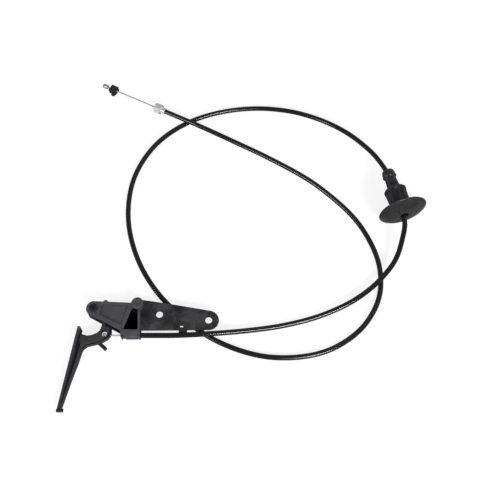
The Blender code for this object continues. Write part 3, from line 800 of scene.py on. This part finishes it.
# Operators
class PhotoCamera(bpy.types.Operator):
    """Place the camera at the photograph's height and angle"""
    bl_idname = "release_cable.camera"
    bl_label = "Camera"

    def execute(self, context):
        studio = context.scene.release_cable_studio
        bpy.ops.object.camera_add(location=CAMERA_AT, rotation=(studio.tilt, 0, 0))
        camera = context.object
        camera.name = "photo_camera"
        camera.data.sensor_width = 36.0
        camera.data.lens = studio.lens
        camera.data.clip_start = 0.01
        context.scene.camera = camera
        return {"FINISHED"}


class ConduitAndGrommet(bpy.types.Operator):
    """Model the ribbed conduit in its loop, and what lies on it"""
    bl_idname = "release_cable.conduit"
    bl_label = "Conduit, Grommet and Latch End"

    def execute(self, context):
        sizes = context.scene.release_cable_sizes
        finish = prepare_finishes(context.scene.release_cable_colours)
        radius = sizes.conduit_diameter / 2
        line, length = conduit_line(sizes.rib_pitch / STEPS_PER_RIB, radius)
        ribs = [1.0 if i % STEPS_PER_RIB else 0.0 for i in range(len(line))]
        ribs[0] = ribs[-1] = 0.0
        radii = [radius - sizes.rib_depth * (1 - rib) for rib in ribs]
        conduit = tube("conduit_sleeve", line, radii, 16, ribs)
        dress(conduit, "root", finish["conduit"], "conduit", angle=60)
        pieces = [self.grommet(finish), self.ferrule(finish), self.wire(sizes, finish),
                  self.clip(finish), self.nipple(finish)]
        line[::PATH_STEP] + [line[-1]]
        return {"FINISHED"}

    def grommet(self, finish):
        skin = (
            (0.0, 4.3), (0.25, 7.5), (1.0, 12.5), (2.4, 17.2), (4.0, 20.9), (5.2, 22.8),
            (5.9, 23.65), (6.5, 23.8), (7.0, 23.4), (7.2, 22.4), (7.2, 9.3), (10.2, 9.3),
            (10.2, 9.6), (10.8, 9.9), (25.8, 10.6), (26.0, 10.1), (26.8, 10.1), (27.0, 11.0),
            (29.2, 11.0), (30.6, 9.6), (31.4, 6.9), (33.0, 6.4), (43.6, 5.6), (44.3, 6.6),
            (45.1, 7.0), (46.1, 6.7), (48.8, 6.5), (51.0, 5.9), (52.4, 4.9), (48.0, 3.7),
            (42.0, 3.1), (12.0, 3.1), (5.0, 3.6),
        )
        piece = spun("grommet_boot", softened(skin, 0.7), 96)
        set_down(piece, GROMMET_AT, GROMMET_TURN)
        return dress(piece, "root", finish["rubber"], "firewall_grommet", angle=40)

    def ferrule(self, finish):
        rear, front = 35.0, 42.2
        corner = HEXAGON / math.sqrt(3)
        prism = bar_along("ferrule", corner, rear, front, steps=6)
        turned = ((rear, 0), (rear, 4.75), (rear + 0.65, corner + 0.1),
                  (front - 0.65, corner + 0.1), (front, 4.75), (front, 0))
        combine(prism, spun("chamfers", turned, 72), "INTERSECT")
        neck = ((30.1, 0), (30.1, 2.8), (30.3, 3.02), (30.6, 3.1), (rear - 0.5, 3.1),
                (rear - 0.1, 3.35), (rear + 0.6, 3.5), (rear + 0.6, 0))
        join(prism, spun("neck", neck, 48))
        for number, angle in enumerate((20, 110, 200, 290)):
            dimple = block(f"crimp_{number}", (31.4, 33.8), (-1.1, 1.1), (2.5, 4.1), 0.35, 3)
            dimple.data.transform(Matrix.Rotation(math.radians(angle), 4, "X"))
            cut(prism, dimple)
        cut(prism, spun("bore", ((28, 0), (28, 1.05), (front - 0.4, 1.05), (front - 0.1, 1.25),
                                 (front + 2, 1.9), (front + 2, 0)), 32))
        set_down(prism, LATCH_AT, LATCH_TURN, LATCH_DIP)
        return dress(prism, "root", finish["zinc"], "latch_ferrule", angle=25)

    def wire(self, sizes, finish):
        piece = stranded("latch_wire_strands", 26.2, 107.6, sizes.wire_diameter / 2,
                         sizes.strand_lay)
        set_down(piece, LATCH_AT, LATCH_TURN, LATCH_DIP)
        return dress(piece, "latch_wire", finish["wire"],
                     "inner_wire_latch_end", angle=60)

    def clip(self, finish):
        piece = block("clip_block", (91.7, 99.9), (-3.9, 3.9), (-3.2, 2.9), 0.5, 2)
        join(piece, block("foot", (92.3, 95.9), (2.6, 6.2), (-3.0, -0.4), 0.35, 3))
        cut(piece, bar_along("bore", 1.05, 90.0, 102.0))
        set_down(piece, LATCH_AT, LATCH_TURN, LATCH_DIP)
        return dress(piece, "latch_wire", finish["clip"], "wire_clip")

    def nipple(self, finish):
        skin = ((103.6, 1.05), (103.6, 1.9), (104.1, 2.4), (108.7, 2.4), (109.2, 1.9),
                (109.2, 0), (108.0, 0), (108.0, 1.05))
        piece = spun("barrel_nipple", softened(skin, 0.3), 48)
        set_down(piece, LATCH_AT, LATCH_TURN, LATCH_DIP)
        return dress(piece, "latch_wire", finish["nipple"], "latch_nipple")


class ReleaseLever(bpy.types.Operator):
    """Model the moulded lever, its nipple and the wire that it pulls"""
    bl_idname = "release_cable.lever"
    bl_label = "Lever"

    def execute(self, context):
        finish = prepare_finishes(context.scene.release_cable_colours)
        self.moulding(finish)
        self.nipple(finish)
        self.wire(context.scene.release_cable_sizes, finish)
        return {"FINISHED"}

    def moulding(self, finish):
        half = 3.65
        outline = arc(0, 0, 6.4, 25, 232, 36)
        outline += [(8.6, -11.2), (8.1, -16.5), (6.8, -20.6), (4.2, -23.0), (-0.3, -25.0)]
        outline += [(-4.4, -25.6), (-7.6, -24.6), (-10.2, -24.0), (-14.0, -40.0), (-13.6, -46.0)]
        outline += [(-9.7, -46.0), (-8.9, -42.0), (-7.9, -37.2), (-4.1, -33.9), (1.3, -32.5)]
        outline += [(5.1, -31.5), (8.4, -30.0), (12.3, -27.4), (14.6, -24.7), (15.6, -21.6)]
        outline += [(15.4, -17.6), (13.6, -9.6)]
        lever = slab("release_lever_moulding", outline, -half, half, 0.8, 2)
        ridge = [(9.0, -10.6), (9.6, -27.0), (3.0, -30.0), (-3.5, -31.5), (-9.9, -37.5)]
        ridge += [(-9.3, -44.0), (-8.4, -42.0), (-6.9, -38.1), (-3.4, -35.2), (1.6, -34.0)]
        ridge += [(5.9, -32.9), (10.4, -31.0)]
        ridge += [(14.4, -28.6), (16.8, -25.4), (17.5, -22.0), (17.1, -17.0), (14.7, -9.0)]
        join(lever, slab("ridge", ridge, -2.1, 2.1, 0.4))
        rib = [(-14.6, -38.0), (-24.0, -91.8), (-20.6, -91.8), (-14.9, -67.2), (-10.6, -51.0)]
        rib += [(-8.9, -43.0), (-8.0, -38.6)]
        rib_thin = (-46.0, -92.0, 3.4 / 7.3)
        # The rib's faces stay just under the arm's: cuts through coinciding faces can fail
        rib_half = half - 0.03
        join(lever, slab("rib", rib, -rib_half, rib_half, 0.5, thin=rib_thin))
        grip = rounded([(-13.4, -17.0, 1.2), (-24.9, -92.6, 0.6), (-22.6, -92.7, 0.6),
                        (-10.4, -17.3, 1.4)])
        join(lever, slab("grip", grip, -6.0, 6.0, 0.9, 3, thin=(-17.0, -92.6, 1 / 3)))
        bead = spun("bead", softened(((-25.6, 0), (-25.6, 1.75), (-19.4, 1.75), (-19.4, 0)), 0.5))
        bead.data.transform(Matrix.Translation((0, -94.0 * MM, 0)))
        join(lever, bead)
        finger = rounded([(3.9, -31.5, 0), (12.6, -39.2, 1.3), (14.9, -36.9, 1.3),
                          (7.4, -30.4, 0)])
        join(lever, slab("finger", finger, -2.6, 1.4, 0.5))
        web = [(-11.5, -30.0), (-21.9, -87.5), (-21.3, -87.5), (-18.0, -74.0), (-13.6, -55.0)]
        web += [(-10.6, -42.0), (-9.4, -34.0)]
        neck = rounded([(8.9, -6.2, 0.8), (12.2, -7.6, 0.8), (15.0, -14.0, 0.6),
                        (14.9, -16.6, 0.6), (12.4, -17.9, 0.8), (11.2, -14.6, 0.8)])
        for side, low, high in (("front", 2.2, 8.0), ("rear", -8.0, -2.2)):
            cut(lever, slab("web_" + side, web, low, high, thin=rib_thin))
            cut(lever, slab("neck_" + side, neck, low, high))
        cut(lever, rod("eye", 2.5, 0, 0, -9, 9))
        pocket = arc(POCKET_AT[0] + 0.1, POCKET_AT[1] - 0.1, 2.4, 205, 385, 16)
        pocket += arc(POCKET_AT[0] - 1.1, POCKET_AT[1] + 2.4, 2.4, 25, 205, 16)
        cut(lever, slab("pocket", pocket, -9, 9))
        slot = [(10.0, CABLE_Y - 1.15), (24.0, CABLE_Y - 1.15), (24.0, -12.2), (9.6, -20.9)]
        cut(lever, slab("slot", slot, -1.15, 1.15))
        dress(set_down(lever), "lever", finish["lever"], "release_lever")
        # The flat floors of the lever's recessed webs get painted shade
        second_finish(lever, finish["web"], lambda face: abs(face.normal.z) > 0.9
                      and abs(face.center.z / MM - MID_Z) < PAINTED_SHADE_WEB_LEVEL)

    def nipple(self, finish):
        skin = ((-3.0, 0), (-3.0, 1.6), (-2.7, 1.9), (2.7, 1.9), (3.0, 1.6), (3.0, 0))
        nipple = stood(spun("lever_barrel", softened(skin, 0.25), 40), 0, 0)
        cut(nipple, bar_along("nipple_bore", 1.05, -5, 5))
        set_down(nipple, (*POCKET_AT, MID_Z))
        dress(nipple, "lever_wire", finish["nipple"], "lever_nipple")

    def wire(self, sizes, finish):
        wire = stranded("lever_wire_strands", -1.2, 40.3, sizes.wire_diameter / 2,
                        sizes.strand_lay)
        set_down(wire, (*POCKET_AT, MID_Z))
        dress(wire, "lever_wire", finish["wire"], "inner_wire_lever_end",
              angle=60)


class LeverHousing(bpy.types.Operator):
    """Model the moulded housing and the sleeve in its conduit seat"""
    bl_idname = "release_cable.housing"
    bl_label = "Housing"

    def execute(self, context):
        finish = prepare_finishes(context.scene.release_cable_colours)
        self.moulding(finish)
        self.sleeve(finish)
        return {"FINISHED"}

    def moulding(self, finish):
        left, right = SEAT
        lower = CABLE_Y - CAP_R + 0.9
        outline = arc(0, 0, 7.1, 96, 224, 24)
        outline += [(left, -21.9), (left, -25.6), (right, -25.6), (43.3, -1.4)]
        outline += arc(*RIVET_AT, 5.6, -52, 118, 24)
        outline += [(34.0, 5.5)]
        housing = slab("housing_moulding", outline, CHEEK_IN, CHEEK_OUT, 0.5, 2)
        join(housing, slab("rear_cheek", outline, -CHEEK_OUT, -CHEEK_IN, 0.5))
        upper = [(19.0, 5.9), (19.0, 3.4), (38.0, 2.1), (38.0, 5.0)]
        join(housing, slab("upper_wall", upper, -4.6, 4.6))
        join(housing, rod("rivet_boss", 5.3, *RIVET_AT, -4.7, 4.7))
        bar = [(40.9, -0.6), (42.8, -0.6), (43.8, -21.05), (42.0, -21.05)]
        join(housing, slab("bar", bar, -4.8, 4.8))
        join(housing, block("seat_floor", (left + 0.1, right - 0.1), (CABLE_Y - 0.7, -19.4),
                            (-4.7, 3.0)))
        join(housing, block("seat_north", (left + 0.2, right - 0.2), (-20.9, -19.5), (1.0, 4.6)))
        walls = {"left": (left + 0.15, left + 1.3), "right": (right - 1.8, right - 0.15)}
        for name, x in walls.items():
            join(housing, block("seat_" + name, x, (lower, -20.1), (-4.4, 4.4), 0.35, 3))
        nub = arc(10.7, 5.7, 2.4, -20, 200, 20)
        join(housing, slab("nub", nub, 4.2, 6.7, 0.4))
        window = rounded([(35.8, 0.4, 0.5), (28.7, -21.0, 0.5), (42.1, -21.0, 0.5),
                          (40.9, -1.6, 0.5)])
        cut(housing, slab("window", window, 1.5, 9.0))
        panel = rounded([(7.0, 3.5, 1.2), (5.9, -6.5, 1.6), (26.6, -16.5, 0.8), (31.9, 3.1, 1.2)])
        cut(housing, slab("panel", panel, CHEEK_OUT - 1.4, 9.0))
        cut(housing, rod("pin_bore", 2.5, 0, 0, -9, 9), rod("rivet_bore", 2.8, *RIVET_AT, -9, 9),
            rod("pin_dish", 4.2, 0, 0, CHEEK_OUT - 0.7, 9))
        plate_slot = arc(*RIVET_AT, 7.1, 90, 282, 24)
        plate_slot += [(42.2, -3.0), (42.6, -21.5), (50.0, -21.5), (50.0, 12.0)]
        cut(housing, slab("plate_slot", plate_slot, PLATE_BACK - 0.3, PLATE_FRONT + 0.3))
        cut(housing, block("panel_room", (42.9, 50.0), (-20.05, -2.9),
                           (0.3 - CHEEK_IN, PLATE_BACK)))
        cut(housing, self.channel("cap_bay", CAP_R + 0.3, left + 1.3, right - 1.8),
            self.channel("wire_way", 1.05, 20.0, left + 1.8))
        cut(housing, bar_along("conduit_way", 2.85, right - 2.3, 50.0, CABLE_Y))
        dress(set_down(housing), "root", finish["housing"], "lever_housing")
        # The faces between the cheeks get painted shade, so that the window's inside is near
        # black
        second_finish(housing, finish["inside"], self.painted_shade)

    def painted_shade(self, face):
        """Whether a face is between the cheeks, where the housing gets painted shade."""
        x, y, z = (face.center / MM)[:]
        return (abs(z - MID_Z) < CHEEK_IN + 0.05 and x < PIVOT[0] + PAINTED_SHADE_RIGHT
                and y > PIVOT[1] + PAINTED_SHADE_LOW)

    def sleeve(self, finish):
        start, end = CAP_ENDS
        skin = ((start, 1.05), (start, CAP_R - 1.3), (start + 0.3, CAP_R - 1.0),
                (31.0, CAP_R - 1.0), (31.0, CAP_R - 0.3), (31.3, CAP_R), (end - 0.4, CAP_R),
                (end, CAP_R - 0.4), (end, 1.05))
        sleeve = spun("end_sleeve", softened(skin, 0.2), 48)
        sleeve.data.transform(Matrix.Translation((0, CABLE_Y * MM, 0)))
        dress(set_down(sleeve), "root", finish["housing"], "conduit_end_cap")

    def channel(self, name, r, start, end):
        """A cutter for a round-bottomed channel along the cable's line, open to one side."""
        section = [(r, -31.0), (-r, -31.0)]
        section += [(z, y + CABLE_Y) for z, y in arc(0, 0, r, 180, 0, 20)]
        return slab_along(name, section, start, end)


class MountingBracket(bpy.types.Operator):
    """Model the stamped bracket with its holes and the tongue under the cable"""
    bl_idname = "release_cable.bracket"
    bl_label = "Bracket"

    def execute(self, context):
        finish = prepare_finishes(context.scene.release_cable_colours)
        outline = arc(*RIVET_AT, 6.8, 76, 280, 28)
        outline += [(42.6, -3.0), (43.0, -20.1), (101.8, -19.5)]
        outline += arc(*SCREWS[1], 9.5, -88, 80, 28)
        outline += [(72.4, 5.9), (56.0, 8.6)]
        plate = slab("bracket_plate", outline, PLATE_BACK, PLATE_FRONT, 0.45, 2)
        tongue = [(0.9, -18.6), (-0.2, -18.6), (-0.2, -19.9), (-3.5, -19.95), (-4.3, -20.9),
                  (-4.3, -25.0), (-2.8, -25.0), (-2.8, -21.35), (0.3, -21.45), (0.9, -20.3)]
        join(plate, slab_along("tongue", tongue, 78.9, 86.7))
        swell = ((0.0, 0), (0.0, 4.0), (1.2, 4.0), (1.8, 3.2), (2.2, 1.8), (2.3, 0))
        join(plate, stood(spun("swell", softened(swell, 0.5), 48), 81.7, -14.6))
        cut(plate, block("swell_mouth", (76.0, 88.0), (-19.4, -15.6), (PLATE_FRONT + 0.02, 5.0)))
        small_slot = arc(82.4, -16.0, 0.9, -90, 90, 12) + arc(80.9, -16.0, 0.9, 90, 270, 12)
        cut(plate, slab("small_slot", small_slot, -3, 5))
        cut(plate, rod("ear_hole", 2.8, *RIVET_AT, -3, 5))
        for number, (x, y) in enumerate(SCREWS, 1):
            flare = ((-3, 0), (-3, 3.25), (PLATE_FRONT - 0.12, 3.25), (PLATE_FRONT + 0.1, 3.45),
                     (4, 3.45), (4, 0))
            cut(plate, stood(spun(f"screw_hole_{number}", flare, 64), x, y))
        dress(set_down(plate), "root", finish["bracket"], "mounting_bracket")
        return {"FINISHED"}


class PinAndRivet(bpy.types.Operator):
    """Model the pivot pin, its retainer and the rivet"""
    bl_idname = "release_cable.rivet"
    bl_label = "Pin and Rivet"

    def execute(self, context):
        finish = prepare_finishes(context.scene.release_cable_colours)
        base = CHEEK_OUT + 0.3
        self.pin(base, finish)
        self.retainer(base, finish)
        self.rivet(base, finish)
        return {"FINISHED"}

    def pin(self, base, finish):
        skin = ((-MID_Z, 0), (-MID_Z, 1.8), (-MID_Z + 0.4, 2.2), (base, 2.2), (base, 3.3),
                (base + 0.9, 3.3), (base + 1.2, 3.0), (base + 1.2, 0))
        pin = stood(spun("pin_head", softened(skin, 0.25), 48), 0, 0)
        cut(pin, rod("pin_recess", 1.6, 0, 0, base + 0.2, base + 3, 6))
        dress(set_down(pin), "root", finish["pin"], "pivot_pin")

    def retainer(self, base, finish):
        skin = ((-base - 0.9, 2.5), (-base - 0.9, 4.2), (-base - 0.6, 4.5), (-base, 4.5),
                (-base, 2.5))
        ring = stood(spun("retainer_ring", softened(skin, 0.2), 48), 0, 0)
        dress(set_down(ring), "root", finish["zinc"], "pin_retainer")

    def rivet(self, base, finish):
        top = base + 3.2
        skin = ((-base - 1.1, 0), (-base - 1.1, 3.5), (-base - 0.6, 4.0), (-base, 4.0),
                (-base, 2.5), (base, 2.5), (base, 5.5), (top - 0.7, 5.5), (top - 0.2, 5.1),
                (top, 4.5), (top, 2.6), (top - 0.4, 2.3), (top - 0.4, 0))
        rivet = stood(spun("rivet_head", softened(skin, 0.3), 64), *RIVET_AT)
        dress(set_down(rivet), "root", finish["steel"], "housing_rivet")


class Studio(bpy.types.Operator):
    """Set out the pale floor, the soft lamps and the white surroundings"""
    bl_idname = "release_cable.studio"
    bl_label = "Studio"

    def execute(self, context):
        studio = context.scene.release_cable_studio
        context.scene.view_settings.view_transform = "Standard"
        self.floor()
        self.surroundings(context.scene, studio)
        for name, power, size, place in LAMPS:
            self.lamp(name, getattr(studio, power), size, place)
        return {"FINISHED"}

    def floor(self):
        """A white floor that is white to the camera wherever nothing shades it."""
        bpy.ops.object.select_all(action="DESELECT")
        bpy.ops.mesh.primitive_plane_add(size=FLOOR_SIZE, location=FLOOR_AT)
        floor = bpy.context.object
        floor.name = "studio_floor"
        paper = Finish("white_paper", Roughness=0.9, Specular_IOR_Level=0.0)
        paper.shader.inputs["Base Color"].default_value = (*[PAPER_SEEN] * 3, 1.0)
        glow = paper.node("ShaderNodeEmission", None,
                          {"Color": (1, 1, 1, 1), "Strength": PAPER_GLOW}, out="Emission")
        lit = paper.node("ShaderNodeAddShader", None,
                         {0: Field(paper, paper.shader.outputs[0]), 1: glow})
        plain = paper.node("ShaderNodeBsdfDiffuse", None,
                           {"Color": (*[PAPER_REFLECTED] * 3, 1.0)})
        seen = paper.node("ShaderNodeLightPath", out="Is Camera Ray")
        both = paper.node("ShaderNodeMixShader", None, {0: seen, 1: plain, 2: lit})
        paper.lead(both, "Material Output", "Surface")
        floor.data.materials.append(paper.material)

    def surroundings(self, scene, studio):
        """White to the eye and in mirrors, and an even soft light on the object."""
        scene.world = bpy.data.worlds.new("white_surroundings")
        sky = Nodes(scene.world)
        seen, glossy, passing = (
            sky.node("ShaderNodeLightPath", out=f"Is {kind} Ray")
            for kind in ("Camera", "Glossy", "Transmission"))
        direction = sky.node("ShaderNodeTexCoord", out="Generated")
        height = sky.node("ShaderNodeSeparateXYZ", None, {0: direction}, out="Z")
        tent = sky.node("ShaderNodeMapRange", None, {
            "Value": height, "From Min": 0.0, "From Max": TENT_RISE, "To Min": 1.0,
            "To Max": studio.ceiling}, out="Result")
        mirrored = glossy.maths("MAXIMUM", glossy, passing)
        in_mirrors = sky.node("ShaderNodeMix", None, {0: mirrored, 2: studio.sky, 3: tent})
        to_eye = sky.node("ShaderNodeMix", None, {0: seen, 2: in_mirrors, 3: 1.0})
        background = sky.tree.nodes["Background"]
        background.inputs["Color"].default_value = (1, 1, 1, 1)
        sky.lead(to_eye, "Background", "Strength")

    def lamp(self, name, power, size, place):
        """A rectangular soft lamp that looks at the object."""
        bpy.ops.object.light_add(type="AREA", location=place)
        lamp = bpy.context.object
        lamp.name = name
        lamp.data.energy = power
        lamp.data.shape = "RECTANGLE"
        lamp.data.size, lamp.data.size_y = size
        look = Vector(AIM) - Vector(place)
        lamp.rotation_euler = look.to_track_quat("-Z", "Y").to_euler()


class ReleaseCablePanel(bpy.types.Panel):
    """The pieces of the release cable and their settings"""
    bl_idname = "VIEW3D_PT_release_cable"
    bl_label = "Release Cable"
    bl_space_type = "VIEW_3D"
    bl_region_type = "UI"
    bl_category = "Release Cable"

    def draw(self, context):
        for group in (context.scene.release_cable_sizes, context.scene.release_cable_colours,
                      context.scene.release_cable_studio):
            column = self.layout.column(align=True)
            for name in group.bl_rna.properties.keys():
                if name not in ("rna_type", "name"):
                    column.prop(group, name)
        for operator in STEPS:
            self.layout.operator(operator.bl_idname)


GROUPS = {"release_cable_sizes": ReleaseCableSizes, "release_cable_colours": ReleaseCableColours,
          "release_cable_studio": ReleaseCableStudio}
STEPS = (PhotoCamera, ConduitAndGrommet, ReleaseLever, LeverHousing, MountingBracket,
         PinAndRivet, Studio)


def register():
    for name, group in GROUPS.items():
        bpy.utils.register_class(group)
        setattr(bpy.types.Scene, name, bpy.props.PointerProperty(type=group))
    for operator in STEPS:
        bpy.utils.register_class(operator)
    bpy.utils.register_class(ReleaseCablePanel)


def unregister():
    bpy.utils.unregister_class(ReleaseCablePanel)
    for operator in reversed(STEPS):
        bpy.utils.unregister_class(operator)
    for name, group in reversed(GROUPS.items()):
        delattr(bpy.types.Scene, name)
        bpy.utils.unregister_class(group)


def main():
    register()
    bpy.ops.release_cable.camera()
    bpy.ops.release_cable.conduit()
    bpy.ops.release_cable.lever()
    bpy.ops.release_cable.housing()
    bpy.ops.release_cable.bracket()
    bpy.ops.release_cable.rivet()
    bpy.ops.release_cable.studio()


if __name__ == "__main__":
    main()
